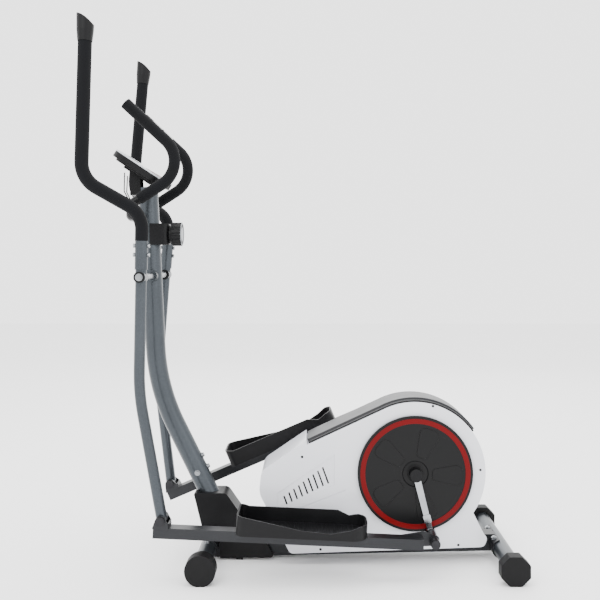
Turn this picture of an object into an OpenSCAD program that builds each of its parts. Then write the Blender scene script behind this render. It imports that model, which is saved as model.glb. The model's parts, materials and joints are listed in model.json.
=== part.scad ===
// Elliptical trainer with moving handles, a rear crank drive and a magnetic brake.
// Millimetres, +Z up. The user faces -X, so -Y is the machine's left side.
// The origin is on the floor, below the middle of the machine's outline.

/* [Stance] */
// Distance of the crank axis behind the origin
crank_x = 327; // [300:1:360]
// Distance from the front stabilizer to the crank axis
front_foot_to_crank = 622; // [600:1:780]
// Distance from the crank axis to the rear stabilizer
crank_to_rear_foot = 262; // [255:1:330]
// Length of a stabilizer tube
stabilizer_len = 446; // [440:1:560]
// Outside diameter of a stabilizer tube
stabilizer_d = 50; // [40:1:60]
// Wall of a stabilizer tube
stabilizer_wall = 1.5; // [1:0.1:3]
// Height of the stabilizer axes above the floor
stabilizer_z = 43; // [40:1:52]
// Length of a stabilizer cap beyond the end of its tube
cap_reach = 26; // [24:1:40]
// Length of tube that a stabilizer cap covers
cap_grip = 16; // [10:1:30]
// Diameter of a transport wheel
wheel_d = 48; // [40:1:52]
// Width of a transport wheel
wheel_w = 14; // [10:1:16]

/* [Base frame] */
// Width of the base tube
base_w = 50; // [40:1:60]
// Height of the base tube
base_h = 50; // [40:1:60]
// Wall of the base tube
base_wall = 2; // [1.5:0.1:4]
// Height of the base tube's centre line at the front stabilizer
base_front_z = 29; // [26:1:40]
// Rise of the base tube to the rear
base_slope = 1.25; // [0:0.05:2]

/* [Mast] */
// Outside diameter of the mast
mast_d = 60; // [50:1:72]
// Wall of the mast
mast_wall = 2; // [1.5:0.1:4]
// Height of the mast's top end
mast_top_z = 1136; // [1110:1:1138]
// Lean of the mast's lower run from upright
mast_foot_lean = 26.4; // [20:0.1:30]
// Lean of the mast's upper run from upright
mast_top_lean = 2.75; // [0:0.05:5]
// Bend radius of the mast
mast_bend = 610; // [400:10:700]

/* [Handles] */
// Distance of the handle axle in front of the crank axis
pivot_to_crank = 797; // [780:1:830]
// Height of the handle axle
pivot_z = 864; // [850:1:900]
// Diameter of the handle axle
axle_d = 20; // [16:1:24]
// Running clearance round the axle and the pivot pins, on the radius
run_gap = 0.06; // [0.03:0.01:0.1]
// Distance of the lower handle tubes from the middle plane
arm_y = 195; // [185:1:225]
// Distance of the hand grips from the middle plane
grip_y = 290; // [250:1:340]
// Outside diameter of a lower handle tube
lower_d = 32; // [28:1:38]
// Wall of the handle tubes
handle_wall = 2; // [1.5:0.1:3]
// Distance from the handle axle down to the pedal arm's pivot
handle_drop = 692; // [650:1:720]
// Outside diameter of the foam grip
foam_d = 38; // [34:1:46]
// Height of a grip cap
cap_h = 77; // [60:1:95]

/* [Pedal arms] */
// Crank throw
crank_throw = 177; // [150:1:180]
// Crank angle behind bottom dead centre, left side
crank_angle = 14.2; // [0:0.1:30]
// Distance along the arm from its front pivot to the crank pin
arm_reach = 783; // [760:1:820]
// Drop of the arm's tube below its front pivot
arm_drop = 36; // [32:1:44]
// Width of the pedal arm's tube
arm_w = 40; // [30:1:46]
// Height of the pedal arm's tube
arm_h = 30; // [24:1:36]
// Wall of the pedal arm's tube
arm_wall = 2; // [1.5:0.1:3]
// Diameter of the pivot pins
pin_d = 16; // [12:1:18]
// Length of a footplate
plate_len = 370; // [320:1:400]
// Width of a footplate
plate_w = 132; // [120:1:150]
// Wall of a footplate
plate_wall = 5; // [4:0.5:8]

/* [Drive] */
// Height of the crank axis
crank_z = 275; // [265:1:300]
// Diameter of the crank discs
disc_d = 345; // [300:1:360]
// Diameter of the crank axle
crank_axle_d = 20; // [17:1:25]
// Outside diameter of the crank bearings
bearing_d = 42; // [35:1:47]
// Diameter of the flywheel
flywheel_d = 220; // [180:1:230]
// Width of the flywheel's rim
flywheel_w = 24; // [18:1:26]
// Diameter of the drive pulley
pulley_d = 230; // [180:1:250]
// Diameter of the flywheel's small pulley
small_pulley_d = 36; // [28:1:44]
// Air gap between the flywheel and the brake magnets
magnet_gap = 3; // [2:0.5:5]

/* [Shroud] */
// Half of the shroud's width
shroud_y = 80; // [76:1:88]
// Radius of the shroud round the crank axis
shroud_r = 212; // [205:1:225]
// Wall of the shroud
shroud_wall = 3; // [2:0.5:4]
// How far the top trim stands above the shroud
trim_h = 11; // [8:1:14]
// Number of vent slots in each side
vent_count = 9; // [5:1:11]

/* [Handlebar and console] */
// Diameter of the fixed handlebar's tube
bar_d = 28; // [25:1:30]
// Distance of the fixed handlebar's arms from the middle plane
bar_y = 130; // [125:1:150]
// Outside diameter of the fixed handlebar's foam
bar_foam_d = 34; // [30:1:38]
// Length of the console
console_len = 172; // [140:1:190]
// Width of the console
console_w = 212; // [170:1:216]
// Tilt of the console from level
console_tilt = 33.5; // [20:0.5:50]
// Diameter of the tension knob
knob_d = 73; // [60:1:80]

/* [Hidden] */
$fn = 64;

frame_grey = "slategray";
arm_grey = "dimgray";
soft_black = [0.12, 0.12, 0.13];
shell_white = "whitesmoke";

front_x = crank_x - front_foot_to_crank;
rear_x = crank_x + crank_to_rear_foot;
pivot = [crank_x - pivot_to_crank, 0, pivot_z];
crank = [crank_x, 0, crank_z];
flywheel_at = crank + [-290, 0, -70];
seat_gap = 0.2;
weld = 0.5;
// A bend is this much slimmer than its straight runs, so their ends overlap cleanly
bend_ease = 0.1;

// Named heights and stations along the mast
mast_knee = [pivot.x + 11.3, 0, 517.6];
mast_end_z = 120;
stub_top_z = 235;
bar_z = 1044;
knob_z = 992;

// The drive's stations across the machine
pulley_y = 21;
pulley_w = 14;
fork_y = 36;
fork_t = 4;
shell_y = [-50, 10];
disc_y = [83, 92];
ring_t = 1.6;
crank_y = [98, 116];
pin_end_y = 118;

function unit(v) = v / norm(v);
function flat(p) = [p.x, p.z];
function polar(c, r, a) = c + r * [cos(a), sin(a)];
function arc(c, r, a0, a1, n) = [for (i = [0:n]) polar(c, r, a0 + (a1 - a0) * i / n)];
function short_turn(a) = a > 180 ? a - 360 : a < -180 ? a + 360 : a;

// Points that round the corner b between a and c with radius r
function corner(a, b, c, r) =
    let (u = unit(a - b), w = unit(c - b), half = acos(u * w) / 2,
         o = b + unit(u + w) * r / sin(half),
         s = b + u * r / tan(half) - o, e = b + w * r / tan(half) - o,
         a0 = atan2(s.y, s.x), turn = short_turn(atan2(e.y, e.x) - a0))
    r == 0 ? [b] : arc(o, r, a0, a0 + turn, 5);
function rounded(p, r) =
    let (n = len(p))
    [for (i = [0:n - 1]) each corner(p[(i + n - 1) % n], p[i], p[(i + 1) % n], r[i])];
function box_points(x0, y0, x1, y1) = [[x0, y0], [x1, y0], [x1, y1], [x0, y1]];

// A closed outline moved inwards by d; its points run anticlockwise
function inset(p, d) =
    let (n = len(p))
    [for (i = [0:n - 1])
        let (u = unit(p[i] - p[(i + n - 1) % n]), w = unit(p[(i + 1) % n] - p[i]),
             m = [-u.y, u.x], k = [-w.y, w.x])
        p[i] + (m + k) / (1 + m * k) * d];

module placed(o, x, z) {
    y = cross(z, x);
    multmatrix([[x.x, y.x, z.x, o.x], [x.y, y.y, z.y, o.y], [x.z, y.z, z.z, o.z], [0, 0, 0, 1]])
        children();
}
module rod(a, b, d) {
    z = unit(b - a);
    placed(a, unit(cross(abs(z.y) < 0.9 ? [0, 1, 0] : [1, 0, 0], z)), z)
        cylinder(h = norm(b - a), d = d);
}

// A round tube along points p; r holds the bend radius at each point
function bend_turn(p, i) = acos(unit(p[i] - p[i - 1]) * unit(p[i + 1] - p[i]));
function bend_trim(p, r, i) =
    i == 0 || i == len(p) - 1 ? 0 : r[i] * tan(bend_turn(p, i) / 2);
module straight_tube(a, b, d, bore) {
    if (bore == 0) rod(a, b, d);
    else difference() {
        rod(a, b, d);
        rod(a - unit(b - a), b + unit(b - a), bore);
    }
}
module bent_tube(p, r, d, bore) {
    for (i = [0:len(p) - 2]) {
        along = unit(p[i + 1] - p[i]);
        start = bend_trim(p, r, i) - (i > 0 ? weld : 0);
        end = bend_trim(p, r, i + 1) - (i < len(p) - 2 ? weld : 0);
        straight_tube(p[i] + along * start, p[i + 1] - along * end, d, bore);
    }
    for (i = [1:1:len(p) - 2]) {
        a = unit(p[i] - p[i - 1]);
        b = unit(p[i + 1] - p[i]);
        m = unit(b - a * (a * b));
        placed(p[i] - a * bend_trim(p, r, i) + m * r[i], -m, cross(a, m))
            rotate_extrude(angle = bend_turn(p, i)) translate([r[i], 0]) difference() {
                circle(d = d - bend_ease);
                if (bore > 0) circle(d = bore + bend_ease);
            }
    }
}
module bent_bar(p, r, d) bent_tube(p, r, d, 0);

// A prism with its outline in X and Z, between two places across the machine
module slab(points, y0, y1) {
    translate([0, y1, 0]) rotate([90, 0, 0]) linear_extrude(y1 - y0) polygon(points);
}
module cross_bar(x, z, d, y0, y1) {
    translate([x, y1, z]) rotate([90, 0, 0]) cylinder(h = y1 - y0, d = d);
}
module both_sides() {
    children();
    mirror([0, 1, 0]) children();
}

// The linkage at rest: pin of the crank, lower pivot of the handle, and their angles
crank_way = [sin(crank_angle), -cos(crank_angle)];
function pin_at(side) = flat(crank) - side * crank_throw * crank_way;
function lower_pivot(side) =
    let (p = flat(pivot), d = pin_at(side) - p, q = norm(d), l = norm([arm_reach, arm_drop]),
         a = (handle_drop * handle_drop - l * l + q * q) / (2 * q),
         h = sqrt(handle_drop * handle_drop - a * a), e = d / q)
    p + a * e - h * [-e.y, e.x];
function handle_swing(side) =
    let (v = lower_pivot(side) - flat(pivot)) atan2(v.x, -v.y);
function arm_pitch(side) =
    let (v = pin_at(side) - lower_pivot(side)) atan2(v.y, v.x) + atan2(arm_drop, arm_reach);

// Handle parts are drawn for the left side, with the lower pivot straight below the axle
module on_handle(side) {
    translate(pivot) rotate([0, -handle_swing(side), 0])
        mirror([0, side > 0 ? 1 : 0, 0]) children();
}
// Pedal arm parts are drawn for the left side, with the front pivot at the origin
module on_arm(side) {
    translate([lower_pivot(side).x, 0, lower_pivot(side).y]) rotate([0, -arm_pitch(side), 0])
        mirror([0, side > 0 ? 1 : 0, 0]) children();
}
module on_crank(side) {
    translate(crank) rotate([0, (side > 0 ? 180 : 0) - crank_angle, 0])
        mirror([0, side > 0 ? 1 : 0, 0]) children();
}
module on_base() {
    translate([front_x, 0, base_front_z]) rotate([0, -base_slope, 0]) children();
}
module on_console() {
    translate([pivot.x - 27, 0, 1199]) rotate([0, console_tilt, 0]) children();
}

// ---- Base frame ----
base_len = (rear_x - front_x) / cos(base_slope);
function base_top(x) = base_front_z + (x - front_x) * tan(base_slope) + base_h / 2;
function mast_low(z) = mast_knee + (z - mast_knee.z) * [-tan(mast_foot_lean), 0, 1];
function mast_high(z) = mast_knee + (z - mast_knee.z) * [-tan(mast_top_lean), 0, 1];
stub_d = mast_d - 2 * mast_wall - 2 * seat_gap;
saddle_t = 4;
brake_pivot = flywheel_at + [(flywheel_d / 2 + 18) * cos(6), 0, (flywheel_d / 2 + 18) * sin(6)];
cable_end = flywheel_at + [-47, -44, flywheel_d / 2 + 3];

module base_tube(grow) {
    on_base() translate([base_len / 2, 0, 0])
        cube([base_len - 20 + grow, base_w + grow, base_h + grow], center = true);
}
module saddle(x, facing, half_w) {
    cut = 2 * stabilizer_d;
    intersection() {
        difference() {
            cross_bar(x, stabilizer_z, stabilizer_d + 2 * seat_gap + 2 * saddle_t, -half_w, half_w);
            cross_bar(x, stabilizer_z, stabilizer_d + 2 * seat_gap, -half_w - 1, half_w + 1);
        }
        translate([x + facing * (cut / 2 + 6), 0, stabilizer_z])
            cube([cut, 4 * half_w, cut], center = true);
    }
}
module fork_plate(y0, y1) {
    c = flat(flywheel_at);
    foot = base_top(c.x) - 6;
    slab(rounded([[c.x - 60, foot], [c.x + 60, foot], [c.x + 22, c.y + 22], [c.x - 22, c.y + 22]],
                 [0, 0, 14, 14]), y0, y1);
}
module brake_lug() {
    c = flat(flywheel_at);
    b = flat(brake_pivot);
    e = [cable_end.x, cable_end.z];
    slab(rounded([c + [10, -60], b + [8, -16], b + [12, 12], b + [-10, 12], c + [10, 20]],
                 [0, 6, 6, 6, 0]), -fork_y - fork_t, -fork_y);
    slab(rounded([c + [-20, -40], c + [10, 10], e + [10, -6], e + [10, 8], e + [-6, 8], e + [-6, -8]],
                 [0, 0, 4, 4, 4, 4]), -fork_y - fork_t, -fork_y);
    translate([e.x - 6, cable_end.y, e.y]) rotate([0, 90, 0]) cylinder(h = 14, d = 12);
    cross_bar(b.x, b.y, 8, -fork_y - fork_t, -fork_y + 38);
}
module base_frame() color(frame_grey) difference() {
    union() {
        base_tube(0);
        rod(mast_low(45), mast_low(stub_top_z), stub_d);
        saddle(front_x, 1, 70);
        saddle(rear_x, -1, 72);
        translate([crank.x - 22, -32, base_top(crank.x) - 6])
            cube([44, 30, crank.z - base_top(crank.x)]);
        cross_bar(crank.x, crank.z, bearing_d + 10, shell_y[0], shell_y[1]);
        fork_plate(-fork_y - fork_t, -fork_y);
        fork_plate(fork_y, fork_y + fork_t);
        translate([flywheel_at.x - 60, -fork_y - fork_t, base_top(flywheel_at.x) - 4])
            cube([120, 2 * (fork_y + fork_t), 10]);
        brake_lug();
    }
    on_base() translate([base_len / 2, 0, 0])
        cube([base_len + 40, base_w - 2 * base_wall, base_h - 2 * base_wall], center = true);
    rod(mast_low(30), mast_low(stub_top_z + 5), stub_d - 6);
    cross_bar(crank.x, crank.z, bearing_d, shell_y[0] - 1, shell_y[1] + 1);
    cross_bar(flywheel_at.x, flywheel_at.z, 12, -60, 60);
    for (x = [front_x, rear_x])
        cross_bar(x, stabilizer_z, stabilizer_d + 2 * seat_gap, -90, 90);
    for (s = [-1, 1]) stabilizer_bolt(rear_x, s * rear_bolt_y, -rear_bolt_lean, 0)
        cylinder(h = stabilizer_d, d = bolt_d);
    translate([-60, -24, base_top(-48) - 8]) cube([24, 20, 16]);
}

module stabilizer(x) color(frame_grey) difference() {
    cross_bar(x, stabilizer_z, stabilizer_d, -stabilizer_len / 2, stabilizer_len / 2);
    cross_bar(x, stabilizer_z, stabilizer_d - 2 * stabilizer_wall,
              -stabilizer_len / 2 - 1, stabilizer_len / 2 + 1);
    children();
}
front_bolt_y = 88;
rear_bolt_y = 46;
rear_bolt_lean = 35;
bolt_d = 8;
module stabilizer_bolt(x, y, lean, seat) {
    translate([x, y, stabilizer_z]) rotate([0, lean, 0]) translate([0, 0, seat]) children();
}
module dome_bolt(d, head_d, head_h, len) {
    translate([0, 0, -len]) cylinder(h = len, d = d);
    cylinder(h = 2, d = head_d + 5);
    translate([0, 0, 2]) cylinder(h = head_h, d = head_d);
}
module front_stabilizer() stabilizer(front_x)
    for (s = [-1, 1]) stabilizer_bolt(front_x, s * front_bolt_y, 0, 0)
        cylinder(h = 40, d = bolt_d);
module rear_stabilizer() stabilizer(rear_x)
    for (s = [-1, 1]) stabilizer_bolt(rear_x, s * rear_bolt_y, -rear_bolt_lean, 0)
        cylinder(h = 40, d = bolt_d);
module frame_bolts() color("silver") {
    for (s = [-1, 1]) {
        stabilizer_bolt(front_x, s * front_bolt_y, 0, stabilizer_d / 2) dome_bolt(bolt_d, 11, 5, 16);
        stabilizer_bolt(rear_x, s * rear_bolt_y, -rear_bolt_lean, stabilizer_d / 2 + seat_gap + saddle_t)
            dome_bolt(bolt_d, 12, 6, 16);
    }
    for (z = [262, 296])
        placed(mast_low(z) + mast_d / 2 * mast_rear, [0, 1, 0], mast_rear) dome_bolt(bolt_d, 12, 5, 8);
    for (s = [-1, 1])
        placed(mast_low(262) + [0, s * mast_d / 2, 0], [1, 0, 0], [0, s, 0])
            dome_bolt(bolt_d, 12, 5, 8);
}
mast_rear = [cos(mast_foot_lean), 0, sin(mast_foot_lean)];

wheel_at = [front_x - 15, 28];
wheel_room = wheel_d / 2 + 3;
wheel_pin_d = 8;
cap_in = stabilizer_len / 2 - cap_grip;
cap_out = stabilizer_len / 2 + cap_reach;
wheel_y = stabilizer_len / 2 + 3 + wheel_w / 2 + 2;
module front_cap() difference() {
    cross_bar(front_x, stabilizer_z, 2 * stabilizer_z + 2, -cap_out, -cap_in);
    cross_bar(front_x, stabilizer_z, stabilizer_d + 2 * seat_gap, -stabilizer_len / 2, -cap_in + 1);
    difference() {
        slab(concat(arc(wheel_at, wheel_room, -45, 135, 24),
                    [polar(wheel_at, wheel_room, 135) + [-50, -50],
                     polar(wheel_at, wheel_room, -45) + [-50, -50]]),
             -wheel_y - wheel_w / 2 - 1, -wheel_y + wheel_w / 2 + 1);
        cross_bar(wheel_at.x, wheel_at.y, wheel_pin_d, -cap_out, -cap_in);
    }
    translate([front_x, 0, -10]) cube([3 * stabilizer_z, 3 * stabilizer_len, 20], center = true);
}
module front_end_caps() color(soft_black) both_sides() front_cap();
module transport_wheel() color(soft_black) difference() {
    cross_bar(wheel_at.x, wheel_at.y, wheel_d, -wheel_y - wheel_w / 2, -wheel_y + wheel_w / 2);
    cross_bar(wheel_at.x, wheel_at.y, wheel_pin_d + 2 * run_gap, -cap_out, -cap_in);
}
level_throw = 1.5;
module level_cap() color(soft_black) difference() {
    translate([rear_x, -cap_in, stabilizer_z]) rotate([90, 22.5, 0])
        translate([level_throw * sin(22.5), -level_throw * cos(22.5), 0])
        cylinder(h = cap_out - cap_in, d = 2 * (stabilizer_z - level_throw) / cos(22.5), $fn = 8);
    cross_bar(rear_x, stabilizer_z, stabilizer_d + 0.6, -stabilizer_len / 2 - 0.3, -cap_in + 1);
}

// ---- Mast ----
mast_path = [mast_low(mast_end_z), mast_knee, mast_high(mast_top_z)];
boss_d = 36;
boss_y = 48;
module mast() color(frame_grey) difference() {
    union() {
        bent_tube(mast_path, [0, mast_bend, 0], mast_d, mast_d - 2 * mast_wall);
        cross_bar(pivot.x, pivot.z, boss_d, -boss_y, boss_y);
    }
    cross_bar(pivot.x, pivot.z, axle_d, -boss_y - 1, boss_y + 1);
    translate([mast_high(knob_z).x, 0, knob_z - 3]) rotate([0, 90, 0])
        cylinder(h = mast_d, d = 12);
    translate([mast_high(1098).x - mast_d, 0, 1098]) rotate([0, 90, 0])
        cylinder(h = mast_d, d = 22);
    for (z = [262, 296])
        placed(mast_low(z), [0, 1, 0], mast_rear) cylinder(h = mast_d, d = bolt_d);
    placed(mast_low(262), [1, 0, 0], [0, 1, 0]) cylinder(h = 2 * mast_d, d = bolt_d, center = true);
}

boot_y = 42;
boot_wall = 2.5;
boot_points = [
    [front_x - 47, 203], [front_x - 17, 82], [front_x + 34, 72], [front_x + 34, 6],
    [front_x + 198, 8], [front_x + 177, 51], [front_x + 135, 103], [front_x + 97, 139],
    [front_x + 52, 203]
];
boot_round = [4, 10, 0, 0, 6, 14, 30, 40, 20];
module mast_boot() color(soft_black) difference() {
    union() {
        slab(rounded(boot_points, boot_round), -boot_y, boot_y);
        translate([front_x + 93, 0, 1]) cylinder(h = 8, d = 44);
        translate([front_x + 83, -boot_y, 1]) cube([20, 2 * boot_y, 8]);
    }
    slab(inset(boot_points, boot_wall), -boot_y + boot_wall, boot_y - boot_wall);
    rod(mast_low(90), mast_low(260), mast_d + 2 * seat_gap);
    rod(mast_low(30), mast_low(100), stub_d + 2 * seat_gap);
    cross_bar(front_x, stabilizer_z, stabilizer_d + 2 * saddle_t + 4 * seat_gap, -90, 90);
    base_tube(0.8);
}
module handle_axle() color("silver") {
    cross_bar(pivot.x, pivot.z, axle_d, -sleeve_out - 3.6, sleeve_out + 3.6);
    both_sides() {
        cross_bar(pivot.x, pivot.z, axle_d + 1, -sleeve_out - 6, -sleeve_out - 3.6);
        cross_bar(pivot.x, pivot.z, 14, -sleeve_out - 11, -sleeve_out - 6);
    }
}

// ---- Console ----
console_t = 26;
console_r = 42;
function console_outline(less) =
    rounded(inset(box_points(-console_len / 2, -console_w / 2, console_len / 2, console_w / 2), less),
            [for (i = [1:4]) console_r - less]);
module console_back() color(soft_black) on_console() difference() {
    union() {
        translate([0, 0, 4 - console_t]) linear_extrude(console_t - 8) polygon(console_outline(0));
        translate([0, 0, -2 - console_t]) linear_extrude(7) polygon(console_outline(14));
    }
    translate([0, 0, 7 - console_t]) linear_extrude(console_t) polygon(console_outline(3));
}
screen = [62, 104];
screen_x = -30;
button_x = 44;
button_d = 16;
button_spots = [-54, -18, 18, 54];
module console_face() color(shell_white) on_console() difference() {
    translate([0, 0, -3.8]) linear_extrude(4.8) polygon(console_outline(0.6));
    translate([screen_x, 0, 0.5]) cube([screen.x, screen.y, 3], center = true);
    for (y = button_spots) translate([button_x, y, -9]) cylinder(h = 20, d = button_d + 0.8);
    translate([0, 0, -8]) linear_extrude(6) polygon(console_outline(4));
}
module button(i) color("silver") on_console() translate([button_x, button_spots[i], -5])
    cylinder(h = 8, d = button_d);
module console_bracket() color(soft_black) difference() {
    union() {
        on_console() translate([0, 0, -6 - console_t]) cube([96, 70, 8], center = true);
        translate([mast_high(1150).x - mast_d / 2 - 20, -24, 1112]) cube([44, 48, 78]);
    }
    rod(mast_high(1000), mast_high(1300), mast_d + 2 * seat_gap);
    on_console() translate([0, 0, -2 - console_t + 50]) cube([300, 300, 100], center = true);
}
module console_cables() color(soft_black) for (s = [-1, 1]) {
    front = mast_high(1098).x - mast_d / 2;
    bent_bar([[front + 4, s * 4, 1098], [front - 26, s * 14, 1092], [front - 42, s * 17, 1124],
              [front - 40, s * 20, 1178 - s * 3]], [0, 8, 8, 0], 3.5);
}

// ---- Fixed handlebar ----
bar_x = mast_high(bar_z).x - (mast_d + bar_d) / 2 - seat_gap;
bar_low = [bar_x + 15, -bar_y, bar_z];
bar_rise = [bar_x + 18, -bar_y, bar_z + 34];
bar_knee = [bar_x + 194, -bar_y, bar_z + 148];
bar_tip = [bar_x + 4, -bar_y, bar_z + 325];
function mirrored(p) = [p.x, -p.y, p.z];
module fixed_handlebar() color(soft_black) {
    half = [bar_tip, bar_knee, bar_rise, bar_low, [bar_x, -48, bar_z]];
    path = concat(half, [for (i = [4:-1:0]) mirrored(half[i])]);
    turns = [0, 82, 20, 20, 60];
    bent_tube(path, concat(turns, [for (i = [4:-1:0]) turns[i]]), bar_d, bar_d - 4);
    difference() {
        translate([bar_x + 2, -26, bar_z - 18]) cube([24, 52, 36]);
        cross_bar(bar_x, bar_z, bar_d - 1, -40, 40);
        rod(mast_high(bar_z - 60), mast_high(bar_z + 60), mast_d + 2 * seat_gap);
    }
}
bar_up = unit(bar_tip - bar_knee);
grip_start = bar_rise + unit(bar_knee - bar_rise) * 26;
module handlebar_grips() color(soft_black) both_sides() {
    bent_tube([grip_start, bar_knee, bar_tip + bar_up * 4], [0, 82, 0], bar_foam_d,
              bar_d + 2 * seat_gap);
    rod(bar_tip + bar_up * seat_gap, bar_tip + bar_up * 6, bar_foam_d);
}
sensor_len = 40;
module pulse_sensors() color("silver") both_sides() for (at = [26, 72])
    placed(bar_tip - bar_up * at, [0, 1, 0], -bar_up) intersection() {
        difference() {
            cylinder(h = sensor_len, d = bar_foam_d + 2.4);
            translate([0, 0, -1]) cylinder(h = sensor_len + 2, d = bar_foam_d + 0.2);
        }
        translate([bar_foam_d / 2, 5, sensor_len / 2])
            cube([22, 0.86 * bar_foam_d, sensor_len + 2], center = true);
    }

// ---- Tension control ----
housing_w = 66;
housing_h = 65;
housing_back = mast_high(knob_z).x + mast_d / 2 + 30;
module knob_housing() color(soft_black) difference() {
    translate([0, 0, knob_z - housing_h / 2]) linear_extrude(housing_h)
        polygon(rounded(box_points(housing_back - 57, -housing_w / 2, housing_back, housing_w / 2),
                        [3, 14, 14, 3]));
    rod(mast_high(knob_z - 80), mast_high(knob_z + 80), mast_d + 2 * seat_gap);
    translate([housing_back - 24, 0, knob_z]) rotate([0, 90, 0])
        cylinder(h = 40, d = 10 + 2 * run_gap);
}
module tension_knob() color(soft_black) translate([housing_back, 0, knob_z]) rotate([0, 90, 0]) {
    translate([0, 0, -22]) cylinder(h = 26, d = 10);
    translate([0, 0, 1.5]) cylinder(h = 9, d = 0.74 * knob_d);
    difference() {
        translate([0, 0, 10]) cylinder(h = 28, d = knob_d);
        for (i = [0:11]) rotate([0, 0, 30 * i]) translate([knob_d / 2 + 3.5, 0, 12])
            cylinder(h = 40, d = 12);
    }
}
cable_d = 5;
module tension_cable() color(soft_black) bent_bar([
    [mast_high(knob_z).x + mast_d / 2 - 1, 0, knob_z - 3], [mast_high(knob_z).x - 20, 0, knob_z - 12],
    [mast_high(700).x - 20, 0, 700], mast_knee + [-6, 0, 22], cable_turn,
    [-48, 0, base_top(-48) - base_h / 2], [-48, cable_end.y, 116],
    [-48, cable_end.y, cable_end.z], [cable_end.x - 6, cable_end.y, cable_end.z]
], [0, 18, 60, 200, 40, 18, 18, 18, 0], cable_d);
cable_turn = [mast_low(31).x, 0, base_top(mast_low(31).x) - base_h / 2];

// ---- Shroud ----
trim_from = 35;
top_slope = 27.4;
shroud_foot = -34.4;
top_way = [-cos(top_slope), -sin(top_slope)];
top_up = [-sin(top_slope), cos(top_slope)];
trim_front = flat(crank) + [-323.4, 83.7];
shroud_front = [
    trim_front, trim_front + [-2, 13.5], flat(crank) + [-460, 6], flat(crank) + [-467.5, -60],
    flat(crank) + [-374, -242], flat(crank) + [207, -222], flat(crank) + [219, -192]
];
shroud_round = [0, 2, 38, 60, 16, 16, 14];
function shroud_line(less) =
    let (p = concat(arc(flat(crank), shroud_r - less, shroud_foot, 90 + top_slope, 40),
                    rounded(inset_front(less), [for (r = shroud_round) max(r - less, 0)])))
    p;
function inset_front(less) =
    let (n = len(shroud_front),
         ring = concat([polar(flat(crank), shroud_r, 90 + top_slope)], shroud_front,
                       [polar(flat(crank), shroud_r, shroud_foot)]),
         moved = inset(ring, less))
    [for (i = [1:n]) moved[i]];
vent_corner = flat(crank) + [-388, -82];
module vent_slots() for (i = [0:vent_count - 1]) {
    t = i / (vent_count - 1);
    at = vent_corner + t * [120, 74];
    long = 26 + 26 * t;
    translate([at.x, -shroud_y + 1, at.y]) rotate([0, -20, 0])
        cube([5, 12, long], center = true);
}
screw_spots = [[-338, 48], [54, 200], [196, 9], [-283, -229], [130, -216]];
module shroud_shell() color(shell_white) difference() {
    slab(shroud_line(0), -shroud_y, 0);
    slab(shroud_line(shroud_wall), -shroud_y + shroud_wall, 1);
    cross_bar(crank.x, crank.z, 60, -shroud_y - 1, 0);
    base_tube(0.8);
    vent_slots();
    for (p = screw_spots)
        cross_bar(crank.x + p.x, crank.z + p.y, 8, -shroud_y - 1, -shroud_y + 1.5);
}
module shroud_screws() color("black") both_sides() for (p = screw_spots)
    cross_bar(crank.x + p.x, crank.z + p.y, 7.6, -shroud_y - 0.4, -shroud_y + 1.5);
function trim_line(up) = concat(
    arc(flat(crank), shroud_r + up, trim_from, 90 + top_slope, 24),
    [trim_front - 0.6 * trim_h * top_way + up * top_up]);
function reversed(p) = [for (i = [len(p) - 1:-1:0]) p[i]];
module shroud_top_trim() color(arm_grey) {
    slab(concat(trim_line(trim_h / 2), reversed(trim_line(seat_gap))), 4 - shroud_y, shroud_y - 4);
    slab(concat(trim_line(trim_h), reversed(trim_line(trim_h / 2))), 22 - shroud_y, shroud_y - 22);
}

// ---- Drive ----
module ring_bar(x, z, d, bore, y0, y1) difference() {
    cross_bar(x, z, d, y0, y1);
    cross_bar(x, z, bore, y0 - 1, y1 + 1);
}
module crank_bearings() color("silver") for (y = [shell_y[0], shell_y[1] - 12])
    ring_bar(crank.x, crank.z, bearing_d, crank_axle_d + 2 * run_gap, y, y + 12);
module crank_axle() color("silver")
    cross_bar(crank.x, crank.z, crank_axle_d, -crank_y[1], crank_y[1]);
module drive_pulley() color("dimgray") difference() {
    union() {
        ring_bar(crank.x, crank.z, pulley_d, crank_axle_d, pulley_y - pulley_w / 2,
                 pulley_y + pulley_w / 2);
        ring_bar(crank.x, crank.z, 46, crank_axle_d, pulley_y - 8, 66);
    }
    for (i = [0:5])
        cross_bar(crank.x + 0.33 * pulley_d * cos(60 * i), crank.z + 0.33 * pulley_d * sin(60 * i),
                  0.19 * pulley_d, 0, 60);
}
belt_t = 3;
belt_gap = 0.4;
// Outline of a loop round both pulleys, at a distance out from their rims
function loop_line(out) =
    let (a = flat(crank), b = flat(flywheel_at), v = a - b, way = atan2(v.y, v.x),
         ra = pulley_d / 2 + out, rb = small_pulley_d / 2 + out, lean = acos((ra - rb) / norm(v)))
    concat(arc(a, ra, way - 180 + lean, way + 180 - lean, 48),
           arc(b, rb, way + 180 - lean, way + 180 + lean, 10));
module drive_belt() color(soft_black) difference() {
    slab(loop_line(belt_gap + belt_t), pulley_y - 6, pulley_y + 6);
    slab(loop_line(belt_gap), pulley_y - 7, pulley_y + 7);
}
module flywheel_axle() color("silver") {
    cross_bar(flywheel_at.x, flywheel_at.z, 12, -fork_y - fork_t - 12, fork_y + fork_t + 12);
    both_sides() cross_bar(flywheel_at.x, flywheel_at.z, 22, -fork_y - fork_t - 8, -fork_y - fork_t);
}
module flywheel() color("gray") difference() {
    union() {
        cross_bar(flywheel_at.x, flywheel_at.z, flywheel_d, -4 - flywheel_w, -4);
        cross_bar(flywheel_at.x, flywheel_at.z, 30, -32, 14);
        cross_bar(flywheel_at.x, flywheel_at.z, small_pulley_d, 13.5, 28.5);
    }
    for (y = [-5 - flywheel_w, -10])
        ring_bar(flywheel_at.x, flywheel_at.z, 0.76 * flywheel_d, 44, y, y + 7);
    cross_bar(flywheel_at.x, flywheel_at.z, 12 + 2 * run_gap, -60, 60);
}
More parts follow.
